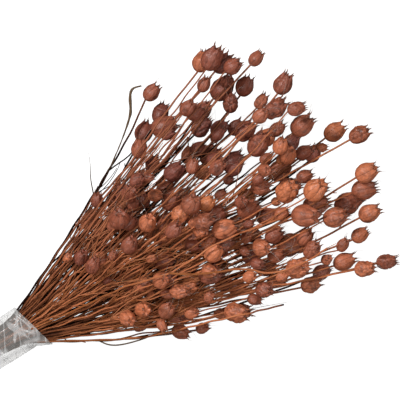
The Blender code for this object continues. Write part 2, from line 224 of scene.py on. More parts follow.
# Finer pods, in shares of the pod's radius
LOBE_ACROSS = (0, 0.05, 0.14, 0.32, 0.56, 0.76, 0.91)
SMALL_LOBE_ACROSS = (0, 0.1, 0.4, 0.68, 0.88)
FINE_POD_RADIUS = 0.007
FINE_RINGS = (8, 12)
SMALL_RINGS = (7, 9)
CAP_RINGS = 3
WIDEST_HEIGHT = 1.1
RIM_HEIGHT = 2.22
RIM_NARROWING = 0.46
RIM_POWER = 1.9
LOBE_DEPTH = (0.05, 0.1)
LOBE_POWER = 3.4
TIP_RISE = 0.15
TIP_DROP = 0.13
CAP_HEIGHT = RIM_HEIGHT - 0.16
MIDRIB_HEIGHT = 0.022
MIDRIB_WIDTH = 0.06
SQUASH = 0.07
DENT_DEPTH = 0.075
CREASE_DEPTH = 0.068
CREASE_SCALE = 2.3
CREASE_NARROWNESS = 2.6
CREASE_SHARPNESS = 2.5
BASE_HOLD = 4
CRUMPLE = (0.55, 1.25)
COLLAPSE = (1.6, 2.4)
COLLAPSED_SHARE = 0.32
HORN_LENGTH = (0.26, 0.46)
HORN_RADIUS = 0.085
HORN_LEAN = 0.22
HORN_BEND = 0.3
HORN_TAPER = 1.08
HORN_TURN = 0.12
HORN_FOOT = ((1 - RIM_NARROWING) * 0.93, RIM_HEIGHT + TIP_RISE * 0.55)
HORN_SIDES = 5
HORN_STEPS = 4
STEM_SINK = 0.1
VEINS = 9
VEIN_SLANT = 2.2

# Hairs and leaves, and the photo's thread leaves as ways across the surface, in mm
SPARE_SHARE = 0.02
HAIRS_A_POD = 3
HAIR_LENGTH = (0.004, 0.01)
HAIR_RADIUS = 0.00011
HAIR_LEAN = (0.8, 0.5)
HAIR_CURL = (-0.6, 0.9)
HAIR_STEPS = 6
LONG_HAIR_SHARE = 0.14
LONG_HAIR_LENGTH = (0.014, 0.028)
THREAD_RADIUS = 0.0008
FINE_THREAD_RADIUS = 0.00045
THREAD_STEP = 0.003
THREAD_RISE = 0.004
THREAD_LENGTH = (0.02, 0.05)
THREAD_LEAN = (1.0, 0.4)
THREAD_CURL = (-0.7, 0.9)
THREAD_STEPS = 12
THREAD_TAPER = (1.05, 1.5)
RANDOM_THREADS = 16
THREADS_FROM_X = 0.06
THREADS = (
    ((122.5, 63.5), (127.5, 72), (132.5, 84), (141, 99), (145.5, 110)),
    ((128.5, 69), (138.5, 77), (146.5, 81), (158, 86), (166.5, 93)),
    ((60, -46), (64, -53.5), (92.6, -66.3), (104.9, -68.7), (148, -79), (200, -98), (235, -111.8)),
)
LEAF_STEP = 0.003
LEAF_SHEET = 0.0003
LEAF_WAVE = 0.12
LEAF_WAVES = (1.7, 0.9)
LEAF_HALF_WIDTHS = (0.0005, 0.0006, 0.0006, 0.0009, 0.0014, 0.0014, 0.0007)

# Fine film
# white streaks on the film: whitened creases and painted highlights
FILM_CREASE_AND_HIGHLIGHT_STREAKS = ((120, -0.55, 0.05), (75, 0.35, 0.045), (45, 0.1, 0.035))
FILM_SHEET = 0.0002
FILM_ALPHA = 0.15
FILM_FINE_AROUND = 176
FILM_FINE_ALONG = 104
FILM_CREASE_STRETCH = 0.22
FILM_CREASE_NARROWNESS = 3
FILM_SIDE_SHARE = 0.35
FILM_CREASES = ((60, 0.55, 0.0012), (130, -0.4, 0.0004))

# Camera and light
LENS = 350
SENSOR = 36
FRAME_WIDTH = 0.366
PHOTO_CENTRE = (0.2076, 0.0141)
PHOTO_PLANE_Z = 0.06
PHOTO_TURN = radians(-32)
BUNCH_MIDDLE = (0.2, 0.0, 0.05)
LIGHTS = {
    "key": ((-0.25, 1.3, 1.6), 0.45, 36),
    "fill": ((0.35, -0.95, 2.2), 0.8, 8),
    "top": ((0.15, 0.1, 2.6), 0.5, 20),
    "low_1": ((0.2, -1.9, 0.45), 0.8, 7),
    "low_2": ((1.9, 0.0, 0.45), 0.8, 7),
    "low_3": ((-1.5, -0.3, 0.45), 0.8, 5),
}
AMBIENT = 0.01
AMBIENT_COLOUR = (1.0, 0.82, 0.72)
FLOOR_HALF = 10
FLOOR_COLOUR = (0.3, 0.3, 0.3)
FLOOR_GLOW = 0.92

# Colours
HUSK_DARK = (0.18, 0.044, 0.032)
HUSK_LIGHT = (0.66, 0.195, 0.083)
HUSK_GOLDEN = (0.68, 0.215, 0.075)
HUSK_PLUM = (0.22, 0.052, 0.031)
HUSK_BLOTCH = (0.065, 0.012, 0.006)
# pale faded patches, lightened further as painted highlights
HUSK_FADED_AND_HIGHLIGHT = (0.74, 0.33, 0.2)
# dark veins, midribs and grooves, and the painted shade in creases
HUSK_LINE_AND_CREASE_SHADE = (0.03, 0.007, 0.004)
# near black: the bark's darkest tone and the painted shade of stems deep in the bunch
BARK_DARK_AND_SHADE = (0.014, 0.0035, 0.0015)
BARK_LIGHT = (0.46, 0.145, 0.062)
# golden-brown near the stems' base, darkened as painted shade of the dense bundle
BARK_GOLDEN_AND_SHADE = (0.2, 0.062, 0.013)
BARK_STREAK = (0.6, 0.26, 0.125)
BARK_COOL = (0.27, 0.098, 0.06)
BARK_PATCH = (0.02, 0.004, 0.002)
BARK_STREAK_SCALES = (9, 5, 40)
HORN_DARK = (0.08, 0.03, 0.02)
HORN_LIGHT = (0.3, 0.13, 0.08)
HAIR_DARK = (0.32, 0.27, 0.23)
HAIR_LIGHT = (0.6, 0.55, 0.5)
LEAF_DARK = (0.05, 0.028, 0.012)
LEAF_LIGHT = (0.15, 0.085, 0.035)
FILM_CLEAR = (0.62, 0.6, 0.57)
# white of the creases and of painted highlights
FILM_CREASE_AND_HIGHLIGHT_WHITE = (0.88, 0.88, 0.87)

# Tints from 0, dark, to 1, light: pods' by their place across the bunch and, as painted shade, darker low
# down; stems' by depth, as painted shade dark deep in the bunch and light on top
POD_TINTS = (0.34, 0.68)
POD_TINT_EDGES = (-0.02, 0.1)
POD_TINT_SPREAD = 0.21
LEAST_POD_TINT = 0.12
# pods low in the bunch are painted darker, as shade
LOW_POD_PAINTED_SHADE = 0.15
POD_SHADE_HEIGHT = 0.07
# stems' painted shade, from deep in the bunch to its top
STEM_SHADE_TINTS = (0.0, 0.95)
STEM_TINT_SPREAD = 0.19
TIGHT_DEPTHS = (0.5, 1.0)
LOOSE_DEPTHS = (0.05, 0.66)
STEM_TINT_POWER = 2.2

# A shape's materials
BARK, HUSK, HORN, HAIR, LEAF = range(5)


class Bunch:
    """Every stem as a chain of points, held together by segments and bends while they are eased apart."""

    def __init__(self):
        self.points = []
        self.held = []
        self.segments = []
        self.bends = []
        self.shoots = []

    def add_point(self, point, held=False):
        self.points.append(point)
        self.held.append(held)
        return len(self.points) - 1

    def add_shoot(self, spray, chain, radii, pod_radius):
        """A stem through the points of chain, thinning from radii[0] to radii[1], with a pod at its end."""
        links = len(chain) - 1
        for k in range(links):
            radius = radii[0] + (radii[1] - radii[0]) * k / links
            self.segments.append((chain[k], chain[k + 1], radius, spray, False))
        if pod_radius:
            last = self.points[chain[-1]]
            along = unit(last - self.points[chain[-2]])
            top = self.add_point(last + along * pod_radius * POD_CORE_SHARE)
            self.segments.append((chain[-1], top, pod_radius * POD_CLEAR_SHARE, spray, True))
            chain = chain + [top]
        for k in range(1, len(chain) - 1):
            self.bends.append((chain[k - 1], chain[k], chain[k + 1]))
        self.shoots.append({"spray": spray, "chain": chain, "radii": radii, "pod": pod_radius})


def unit(vector):
    return vector / norm(vector)


def mix(low, high, share):
    return low + (high - low) * share


def shares(count):
    """Even shares of a way, from 0 to 1, as a column."""
    return np.linspace(0, 1, count)[:, None]


def new_object(name, data):
    obj = bpy.data.objects.new(name, data)
    bpy.context.scene.collection.objects.link(obj)
    return obj


def mesh_object(name, points, faces, finishes):
    mesh = bpy.data.meshes.new(name)
    mesh.from_pydata(points, [], faces)
    for finish in finishes:
        mesh.materials.append(finish)
    mesh.shade_smooth()
    return new_object(name, mesh)


def smoothstep(low, high, value):
    share = min(1.0, max(0.0, (value - low) / (high - low)))
    return share * share * (3 - 2 * share)


def reach_at(degrees):
    """How far the fan reaches at an angle from its axis: less at both edges, and least on the -Y side."""
    shrink = EDGE_SHRINK * smoothstep(*EDGE_ANGLES, degrees)
    low_shrink = LOW_EDGE_SHRINK * smoothstep(*LOW_EDGE_ANGLES, -degrees)
    return REACH * (1 - shrink) * (1 - low_shrink)


def bundle_slots():
    """Hexagonal packing of the stems inside the wrap, as (y, z) from the bundle's centre, from -Y to +Y."""
    slots = []
    for row in range(-SLOT_ROWS, SLOT_ROWS + 1):
        for column in range(-SLOT_COLUMNS, SLOT_COLUMNS + 1):
            y = (column + 0.5 * (row % 2)) * STEM_PITCH
            z = row * STEM_PITCH * sqrt(3) / 2
            slots.append((math.hypot(y / BUNDLE_HALF_WIDTH, z / BUNDLE_HALF_HEIGHT), y, z))
    return sorted((y, z) for _, y, z in sorted(slots)[:STEM_COUNT])


def pod_places(slots, draw):
    """For each slot an angle, a distance and a pod radius: the uppermost pods go to the uppermost slots."""
    by_height = sorted(range(STEM_COUNT), key=lambda k: (-slots[k][1], slots[k][0]))
    upper = sorted(by_height[: len(UPPER_PODS)])
    places = {}
    for slot, (degrees, distance, radius) in zip(upper, sorted(UPPER_PODS)):
        places[slot] = (degrees, distance / 1000, radius / 1000)
    for slot in range(STEM_COUNT):
        if slot not in places:
            degrees = FAN_HALF_ANGLE * slots[slot][0] / BUNDLE_HALF_WIDTH + draw.gauss(0, FAN_JITTER)
            distance = reach_at(degrees) * draw.uniform(*REACH_SHARE)
            places[slot] = (degrees, distance, draw.uniform(*MAIN_POD_RADIUS))
    return [places[slot] for slot in range(STEM_COUNT)]


def grow_main_stem(bunch, spray, slot, place, draw):
    """A stem from its cut end, straight through the wrap, then in a slight bow to its pod's place."""
    degrees, distance, pod_radius = place
    azimuth = radians(degrees)
    across, up = slot[0] / BUNDLE_HALF_WIDTH, slot[1] / BUNDLE_HALF_HEIGHT
    dome = sqrt(max(1 - DOME_FLATNESS, 1 - DOME_FLATNESS * across**2))
    elevation = max(0.0, RISE_ANGLE * dome * (up + 1) / 2 + draw.gauss(0, RISE_JITTER))
    bow = draw.uniform(*BOW_SHARE) * distance
    y, z = slot[0], CENTRE_Z + slot[1]
    cut_x = CUT_END_X + draw.uniform(-CUT_END_SPREAD, CUT_END_SPREAD)
    chain = [bunch.add_point(np.array([x, y, z]), held=True) for x in (cut_x, FAN_START_X)]
    start = np.array([FAN_START_X, y, z])
    rise = z + distance * tan(elevation)
    end = np.array([TIE_X + distance * cos(azimuth), distance * sin(azimuth), rise])
    aside = np.array([-sin(azimuth), cos(azimuth), 0])
    for k in range(1, FREE_POINTS + 1):
        share = (k / FREE_POINTS) ** SPACING_POWER
        bowed = 4 * share * (1 - share) * bow
        chain.append(bunch.add_point(start + (end - start) * share + aside * bowed))
    bunch.add_shoot(spray, chain, (STEM_RADIUS, TIP_RADIUS), pod_radius)
    return chain


def grow_side_shoot(bunch, spray, parent, bare, draw):
    """A thinner shoot that forks off a main stem, then turns back towards the way the stem is going."""
    fork = draw.randint(*SIDE_FORKS)
    start, after = bunch.points[parent[fork]], bunch.points[parent[fork + 1]]
    along = unit(after - start)
    turn = draw.uniform(0, 2 * pi)
    side = unit(np.cross(along, [0, 0, 1]))
    degrees = math.degrees(math.atan2(start[1], start[0] - TIE_X))
    sideways = cos(turn)
    if abs(degrees) > SIDE_EDGE_ANGLE:
        sideways = math.copysign(sideways, degrees)
    outward = sideways * side + SIDE_FLATNESS * sin(turn) * np.cross(side, along)
    room = reach_at(degrees) - math.hypot(start[0] - TIE_X, start[1])
    length = max(SIDE_LEAST_LENGTH, min(room, draw.uniform(*SIDE_LENGTH)))
    angle = draw.uniform(*SIDE_ANGLE)
    chain, here = [parent[fork]], start
    for k in range(SIDE_POINTS):
        leaning = tan(angle) * (1 - SIDE_STRAIGHTENING * k / (SIDE_POINTS - 1))
        here = here + unit(along + outward * leaning) * length / SIDE_POINTS
        chain.append(bunch.add_point(here))
    bunch.bends.append((parent[fork - 1], parent[fork], chain[1]))
    stem_here = STEM_RADIUS + (TIP_RADIUS - STEM_RADIUS) * fork / (FREE_POINTS + 1)
    pod_radius = draw.uniform(*SIDE_POD_RADIUS)
    bunch.add_shoot(spray, chain, (stem_here * SIDE_RADIUS_SHARE, TIP_RADIUS), 0 if bare else pod_radius)


def grow_bunch():
    draw = random.Random(SEED)
    bunch = Bunch()
    slots = bundle_slots()
    places = pod_places(slots, draw)
    mains = []
    for spray in range(STEM_COUNT):
        mains.append(grow_main_stem(bunch, spray, slots[spray], places[spray], draw))
    for number, spray in enumerate(draw.sample(list(range(STEM_COUNT)) * 2, SIDE_SHOOTS)):
        grow_side_shoot(bunch, spray, mains[spray], number < BARE_SHOOTS, draw)
    return bunch


def closest_shares(a0, a1, b0, b1):
    """How far along the segments a0-a1 and b0-b1, from 0 to 1, they come closest to each other."""
    a, b, gap = a1 - a0, b1 - b0, a0 - b0
    aa, ab, bb = (a * a).sum(1), (a * b).sum(1), (b * b).sum(1)
    ag, bg = (a * gap).sum(1), (b * gap).sum(1)
    s = np.clip((ab * bg - bb * ag) / np.maximum(aa * bb - ab * ab, 1e-18), 0, 1)
    t = np.clip((ab * s + bg) / bb, 0, 1)
    s = np.clip((ab * t - ag) / aa, 0, 1)
    return s, t


def pairs_in_reach(points, ends, radii, sprays, pods):
    """Pairs of segments that could meet: of two sprays, or of one where a pod could meet its own stems."""
    middle = (points[ends[:, 0]] + points[ends[:, 1]]) / 2
    size = norm(points[ends[:, 0]] - points[ends[:, 1]], axis=1) / 2 + radii
    first, second = np.triu_indices(len(ends), 1)
    near = ((middle[first] - middle[second]) ** 2).sum(1) < (size[first] + size[second] + NEARBY) ** 2
    first, second = first[near], second[near]
    shared = (ends[first][:, :, None] == ends[second][:, None, :]).any((1, 2))
    meeting = (sprays[first] != sprays[second]) | pods[first] | pods[second]
    return first[meeting & ~shared], second[meeting & ~shared]


def ease_apart(bunch):
    """Moves the free points until no two stems or pods touch, while stems keep their lengths and curves."""
    points = np.array(bunch.points)
    free = ~np.array(bunch.held)
    starts, tops, radii, sprays, pods = (np.array(column) for column in zip(*bunch.segments))
    ends = np.stack([starts, tops], axis=1)
    bends = np.array(bunch.bends)
    lengths = norm(points[starts] - points[tops], axis=1)
    curve = points[bends[:, 1]] - (points[bends[:, 0]] + points[bends[:, 2]]) / 2
    lowest = np.zeros(len(points))
    np.maximum.at(lowest, ends.ravel(), np.repeat(radii, 2))
    for step in range(EASE_STEPS):
        if step % SEARCH_EVERY == 0:
            first, second = pairs_in_reach(points, ends, radii, sprays, pods)
        shift, count = np.zeros_like(points), np.zeros(len(points))

        def pull(index, move):
            np.add.at(shift, index, move)
            np.add.at(count, index, norm(move, axis=1) > 0)

        a0, a1 = ends[first].T
        b0, b1 = ends[second].T
        s, t = closest_shares(points[a0], points[a1], points[b0], points[b1])
        here = points[a0] * (1 - s)[:, None] + points[a1] * s[:, None]
        there = points[b0] * (1 - t)[:, None] + points[b1] * t[:, None]
        apart = norm(here - there, axis=1)
        short = radii[first] + radii[second] + CLEARANCE - apart
        hit = short > 0
        push = (here - there)[hit] / apart[hit, None] * short[hit, None] * PUSH_SHARE
        for index, weight in ((a0, 1 - s), (a1, s), (b0, t - 1), (b1, -t)):
            pull(index[hit], push * weight[hit, None])
        stiff = BEND_STIFFNESS if step < EASE_STEPS - EASE_LAST_STEPS else LAST_STIFFNESS
        error = curve - (points[bends[:, 1]] - (points[bends[:, 0]] + points[bends[:, 2]]) / 2)
        for column, weight in ((1, stiff), (0, -stiff / 2), (2, -stiff / 2)):
            pull(bends[:, column], error * weight)
        span = points[tops] - points[starts]
        stretch = span * (1 - lengths / norm(span, axis=1))[:, None] / 2
        pull(starts, stretch)
        pull(tops, -stretch)
        points += np.where(free[:, None], shift / np.maximum(count, 1)[:, None] * EASE_GAIN, 0)
        points[:, 2] = np.where(free, np.maximum(points[:, 2], lowest), points[:, 2])
    return points


class Shape:
    """A mesh as it is put together: points, faces, each face's material and each point's growth marks.

    The marks are how far a point is from a lobe's crest to its groove, how far along, its tint, which carries
    painted shade along with each part's own tone, and crease.
    """

    def __init__(self):
        self.points = []
        self.faces = []
        self.finishes = []
        self.marks = []
        self.count = 0

    def add(self, points, faces, finish, across, along, tint, crease=0.0):
        marks = np.zeros((len(points), 4), np.float32)
        for column, mark in enumerate((across, along, tint, crease)):
            marks[:, column] = mark
        on_surface = np.array(points, np.float32)
        on_surface[:, 2] = np.maximum(on_surface[:, 2], 0)
        self.points.append(on_surface)
        self.faces.extend([tuple(corner + self.count for corner in face) for face in faces])
        self.finishes.extend([finish] * len(faces))
        self.marks.append(marks)
        self.count += len(points)

    def piece(self, name, finishes):
        piece = mesh_object(name, np.concatenate(self.points).tolist(), self.faces, finishes)
        piece.data.polygons.foreach_set("material_index", self.finishes)
        growth = piece.data.color_attributes.new("growth", "FLOAT_COLOR", "POINT")
        growth.data.foreach_set("color", np.concatenate(self.marks).ravel())
        return piece


def grid_faces(rows, columns):
    """Quads between rows of points that each close on themselves."""
    faces = []
    for row in range(rows - 1):
        for column in range(columns):
            after = (column + 1) % columns
            low, high = row * columns, (row + 1) * columns
            faces.append((low + column, low + after, high + after, high + column))
    return faces


def smooth_path(knots, step):
    """Points about step apart on a smooth curve through the knots, and each one's share of the way."""
    gaps = norm(np.diff(knots, axis=0), axis=1)
    slopes = np.diff(knots, axis=0) / gaps[:, None]
    tangents = np.empty_like(knots)
    tangents[0], tangents[-1] = slopes[0], slopes[-1]
    weight = (gaps[:-1] / (gaps[:-1] + gaps[1:]))[:, None]
    tangents[1:-1] = slopes[:-1] * (1 - weight) + slopes[1:] * weight
    path = []
    for k, gap in enumerate(gaps):
        steps = max(1, round(gap / step))
        s = (np.arange(steps) / steps)[:, None]
        path.append(
            (1 + 2 * s) * (1 - s) ** 2 * knots[k]
            + s * (1 - s) ** 2 * gap * tangents[k]
            + s**2 * (3 - 2 * s) * knots[k + 1]
            + s**2 * (s - 1) * gap * tangents[k + 1]
        )
    path = np.concatenate([*path, knots[-1:]])
    far = np.concatenate([[0], np.cumsum(norm(np.diff(path, axis=0), axis=1))])
    return path, far / far[-1]


def tube(path, radii, sides):
    """Rings of points round a path, in frames that don't twist, and the faces between and at both ends."""
    ahead = np.gradient(path, axis=0)
    ahead /= norm(ahead, axis=1)[:, None]
    right = unit(np.cross(ahead[0], FIRST_UP))
    turns = 2 * pi * np.arange(sides) / sides
    rings = []
    for k in range(len(path)):
        right = unit(right - ahead[k] * np.dot(right, ahead[k]))
        up = np.cross(ahead[k], right)
        rings.append(path[k] + radii[k] * (np.cos(turns)[:, None] * right + np.sin(turns)[:, None] * up))
    last = (len(path) - 1) * sides
    caps = [tuple(range(sides))[::-1], tuple(range(last, last + sides))]
    return np.concatenate(rings), grid_faces(len(path), sides) + caps


def add_stem(shape, knots, radii, sides, tint, draw, forked=False, wave=WAVE):
    """A stem that thins along its way, wavers a little and swells where it forks off."""
    path, share = smooth_path(knots, STEM_STEP)
    far = share * norm(np.diff(path, axis=0), axis=1).sum()
    phases = [draw.uniform(0, 2 * pi) for _ in WAVE_TURNS]
    fade = np.minimum(1, WAVE_FADES[0] * share) * np.minimum(1, WAVE_FADES[1] * (1 - share))
    for axis, turns, phase in zip((1, 2), WAVE_TURNS, phases):
        path[:, axis] += wave * fade * np.sin(far / WAVE_LENGTH * turns * pi + phase)
    thick = mix(*radii, share)
    if forked:
        thick = thick * (1 + FORK_SWELL * np.exp(-far / radii[0] / FORK_RADII))
    points, faces = tube(path, thick, sides)
    around = np.tile(np.arange(sides) / sides, len(path))
    shape.add(points, faces, BARK, around, np.repeat(share, sides), stem_tints_with_painted_shade(points, tint))
    return path


def in_box(path):
    """Whether a hair or twig keeps inside the solids' box, apart from a small share of its sides."""
    low, high = np.array(solid_box)
    spare = (high - low) * SPARE_SHARE
    return bool((path > low - spare).all() and (path < high + spare).all())


def add_thread(shape, path, radius, finish, tint):
    """A hair or thread leaf that thins to a point."""
    share = np.linspace(0, 1, len(path))
    points, faces = tube(path, radius * (THREAD_TAPER[0] - share ** THREAD_TAPER[1]), 3)
    shape.add(points, faces, finish, 0.5, np.repeat(share, 3), tint)


def pod_surface(crumple, fine, draw):
    """A pod of radius 1 that opens along +Z: its points, faces and marks across, along and crease."""
    half = np.array(LOBE_ACROSS if fine else SMALL_LOBE_ACROSS)
    base_rings, side_rings = FINE_RINGS if fine else SMALL_RINGS
    lobe = np.concatenate([-np.array([1, *half[:0:-1]]), half])
    signed = np.tile(lobe, POD_LOBES)
    turns = (np.repeat(np.arange(POD_LOBES), len(lobe)) + signed / 2) * 2 * pi / POD_LOBES
    across = np.abs(signed)
    rings = []
    for k in range(1, base_rings):
        angle = k / base_rings * pi / 2
        rings.append((WIDEST_HEIGHT * (1 - cos(angle)), sin(angle), 0.0))
    for k in range(side_rings + 1):
        share = k / side_rings
        rings.append((mix(WIDEST_HEIGHT, RIM_HEIGHT, share), 1 - RIM_NARROWING * share**RIM_POWER, share))
    points, along = [], []
    for height, width, share in rings:
        depth = LOBE_DEPTH[0] + LOBE_DEPTH[1] * share**2
        midrib = MIDRIB_HEIGHT * np.exp(-((across / MIDRIB_WIDTH) ** 2))
        spread = width * (1 - depth * across**LOBE_POWER + midrib)
        lift = TIP_RISE * share**6 * (1 - across) ** 1.5 - TIP_DROP * share**3 * across**1.5
        points.append(np.stack([spread * np.cos(turns), spread * np.sin(turns), height + lift], axis=1))
        along.append(np.full(len(turns), height / RIM_HEIGHT))
    rim = points[-1]
    for k in range(1, CAP_RINGS + 1):
        inward = k / (CAP_RINGS + 1)
        ring = rim * [1 - inward, 1 - inward, 1]
        ring[:, 2] += (CAP_HEIGHT - ring[:, 2]) * sqrt(inward)
        points.append(ring)
        along.append(np.full(len(turns), 1.0))
    count = len(points)
    points = np.concatenate([*points, [[0, 0, 0]], [[0, 0, CAP_HEIGHT]]])
    along = np.concatenate([*along, [0.0], [1.0]])
    across = np.concatenate([np.tile(across, count), [0.5], [0.5]])
    points, crease = crumpled(points, along, crumple, draw)
    faces = grid_faces(count, len(turns))
    foot, crown, last = len(points) - 2, len(points) - 1, (count - 1) * len(turns)
    for column in range(len(turns)):
        after = (column + 1) % len(turns)
        faces += [(foot, after, column), (last + column, last + after, crown)]
    return points, faces, across, along, crease


def crumpled(points, along, crumple, draw):
    """Dents a pod's papery wall in broad hollows and narrow creases, and squashes it to one side."""
    offset = Vector([draw.uniform(0, 50) for _ in range(3)])
    places = [Vector(point) + offset for point in points]
    dents = np.array([noise.noise(place) for place in places])
    creases = np.array([noise.noise(place * CREASE_SCALE) for place in places])
    creases = (1 - np.minimum(1, np.abs(creases) * CREASE_NARROWNESS)) ** CREASE_SHARPNESS
    hold = np.minimum(1, BASE_HOLD * along)
    shrink = 1 - hold * crumple * (DENT_DEPTH * (0.5 + dents) + CREASE_DEPTH * creases)
    lean = draw.uniform(0, 2 * pi)
    squash = SQUASH * draw.uniform(-1, 1)
    dented = points.copy()
    dented[:, :2] *= shrink[:, None]
    aside = dented[:, 0] * cos(lean) + dented[:, 1] * sin(lean)
    dented[:, 0] += aside * squash * cos(lean)
    dented[:, 1] += aside * squash * sin(lean)
    return dented, creases * crumple


def placed(points, matrix):
    return points @ np.array(matrix.to_3x3()).T + np.array(matrix.translation)


def pod_place(base, along, radius, turn):
    pose = Vector(along).to_track_quat("Z", "Y").to_matrix().to_4x4()
    return Matrix.Translation(Vector(base)) @ pose @ Matrix.Rotation(turn, 4, "Z") @ Matrix.Scale(radius, 4)


def pod_tint(place, draw):
    """Pods are purple-brown on the +Y side and more orange on the other, and painted darker low in the bunch,
    as shade.
    """
    across = smoothstep(*POD_TINT_EDGES, place[1])
    # painted shade: pods low in the bunch are painted darker
    painted_shade_below = LOW_POD_PAINTED_SHADE * (1 - smoothstep(0, POD_SHADE_HEIGHT, place[2]))
    mean = mix(*POD_TINTS[::-1], across) - painted_shade_below
    return min(1.0, max(LEAST_POD_TINT, draw.gauss(mean, POD_TINT_SPREAD)))


def stem_tints_with_painted_shade(points, offset):
    """Painted shade: stems on top of the bunch are painted light and those deep in it dark, least so towards
    its loose end, with each stem's own tone added.
    """
    far = np.maximum(points[:, 0] - TIE_X, 0)
    half_width = BUNDLE_HALF_WIDTH + far * tan(radians(FAN_HALF_ANGLE))
    dome = np.sqrt(1 - DOME_FLATNESS * np.clip(points[:, 1] / half_width, -1, 1) ** 2)
    top = CENTRE_Z * (1 + dome) + far * tan(RISE_ANGLE) * dome
    loose = np.minimum(1, far / REACH)
    low, high = (mix(*depths, loose) for depths in zip(TIGHT_DEPTHS, LOOSE_DEPTHS))
    # painted shade: the lower a point lies under the bunch's top, the darker it is painted
    share = np.clip((points[:, 2] / top - low) / (high - low), 0, 1) ** STEM_TINT_POWER
    return np.clip(mix(*STEM_SHADE_TINTS, share) + offset, 0, 1)


def add_pod(shape, base, along, radius, turn, draw):
    """A pod with its crown of horns and a few hairs at their tips."""
    place = pod_place(base, along, radius, turn)
    tint = pod_tint(base, draw)
    crumple = draw.uniform(*CRUMPLE) if draw.random() > COLLAPSED_SHARE else draw.uniform(*COLLAPSE)
    points, faces, across, far, crease = pod_surface(crumple, radius > FINE_POD_RADIUS, draw)
    shape.add(placed(points, place), faces, HUSK, across, far, tint, crease)
    tips = []
    share = shares(HORN_STEPS + 1)
    for lobe in range(POD_LOBES):
        azimuth = 2 * pi * lobe / POD_LOBES + draw.uniform(-HORN_TURN, HORN_TURN)
        outward = np.array([cos(azimuth), sin(azimuth), 0])
        upward = np.array([0, 0, draw.uniform(*HORN_LENGTH)])
        start = outward * HORN_FOOT[0] + np.array([0, 0, HORN_FOOT[1]])
        path = start + share * upward + outward * (share**2 - HORN_BEND * share) * HORN_LEAN
        horn, horn_faces = tube(path, HORN_RADIUS * (HORN_TAPER - share[:, 0]), HORN_SIDES)
        shape.add(placed(horn, place), horn_faces, HORN, 0.5, np.repeat(share[:, 0], HORN_SIDES), tint)
        tips.append(placed(path[-1:], place)[0])
    for tip in draw.sample(tips, HAIRS_A_POD):
        add_hair(shape, tip, along, draw)


def random_side(along, draw):
    return unit(np.cross(along, [draw.gauss(0, 1) for _ in range(3)]))


def offshoot(start, along, aside, lengths, lean, curls, steps, draw):
    """A curved way that leaves a stem or horn ahead and aside, by its lean, and then curls."""
    share = shares(steps)
    length = draw.uniform(*lengths)
    curl = draw.uniform(*curls)
    return start + length * (share * (lean[0] * along + lean[1] * aside) + share**2 * curl * aside)


def add_hair(shape, start, along, draw):
    aside = random_side(along, draw)
    lengths = LONG_HAIR_LENGTH if draw.random() < LONG_HAIR_SHARE else HAIR_LENGTH
    path = offshoot(start, along, aside, lengths, HAIR_LEAN, HAIR_CURL, HAIR_STEPS, draw)
    path[:, 2] = np.maximum(path[:, 2], HAIR_RADIUS)
    if in_box(path):
        add_thread(shape, path, HAIR_RADIUS, HAIR, draw.random())


def add_stubs(shape, path, radii, tint, draw):
    """Short bare stubs where side shoots broke off a stem."""
    share = shares(STUB_STEPS)
    for _ in range(STUBS_A_STEM):
        k = draw.randint(len(path) // 2, len(path) - 4)
        along = unit(path[k + 1] - path[k])
        aside = random_side(along, draw)
        length = draw.uniform(*STUB_LENGTH)
        stub = path[k] + length * (share * along * STUB_LEAN[0] + share**STUB_BEND * aside * STUB_LEAN[1])
        stub[:, 2] = np.maximum(stub[:, 2], radii[1])
        points, faces = tube(stub, radii[1] * mix(*STUB_TAPER, share[:, 0]), STUB_SIDES)
        shape.add(points, faces, BARK, 0.5, 1.0, stem_tints_with_painted_shade(points, tint))


def twig_side(place, along, draw):
    """A random way off a stem, which leads inward where the stem lies at an edge of the bunch."""
    aside = random_side(along, draw)
    outward = aside[1] * place[1] > 0 and abs(place[1]) > EDGE_SLOPE * place[0]
    return -aside if outward else aside


def add_twigs(shape, path, tint, draw):
    """Fine bare twigs that leave a stem in a curve."""
    last = int(TWIGS_TO_SHARE * len(path))
    first = min(int(np.argmax(path[:, 0] > TWIGS_FROM_X)), last)
    for _ in range(TWIGS_A_STEM):
        k = draw.randint(first, last)
        along = unit(path[k + 1] - path[k])
        aside = twig_side(path[k], along, draw)
        twig = offshoot(path[k], along, aside, TWIG_LENGTH, TWIG_LEAN, TWIG_CURL, TWIG_STEPS, draw)
        twig[:, 2] = np.maximum(twig[:, 2], TWIG_RADIUS)
        if in_box(twig):
            points, faces = tube(twig, TWIG_RADIUS * np.linspace(1.0, TWIG_TAPER, TWIG_STEPS), TWIG_SIDES)
            shape.add(points, faces, BARK, 0.5, k / len(path), stem_tints_with_painted_shade(points, tint))


def add_strap_leaf(shape, base, along):
    """The withered strap leaf: a thin blade with a raised midrib that hooks over at its tip."""
    aside = unit(np.cross([0, 0, 1], along))
    up = np.cross(along, aside)
    knots = np.array([base + LEAF_LENGTH * (along * a + aside * b + up * c) for a, b, c in LEAF_PATH])
    path, share = smooth_path(knots, LEAF_STEP)
    halves = np.interp(share, np.linspace(0, 1, len(LEAF_HALF_WIDTHS)), LEAF_HALF_WIDTHS)
    ahead = np.gradient(path, axis=0)
    rows = []
    for k, point in enumerate(path):
        edge = unit(np.cross(ahead[k], up)) * halves[k] * (1 + LEAF_WAVE * sin(k * LEAF_WAVES[0]))
        lift = up * LEAF_SHEET * (0.5 + 0.5 * sin(k * LEAF_WAVES[1]))
        middle = up * LEAF_SHEET
        rows += [point - edge + lift, point + middle, point + edge + lift, point - middle]
    faces = grid_faces(len(path), 4) + [(3, 2, 1, 0), tuple(len(rows) - 4 + k for k in range(4))]
    shape.add(np.array(rows), faces, LEAF, 0.5, np.repeat(share, 4), 0.5)


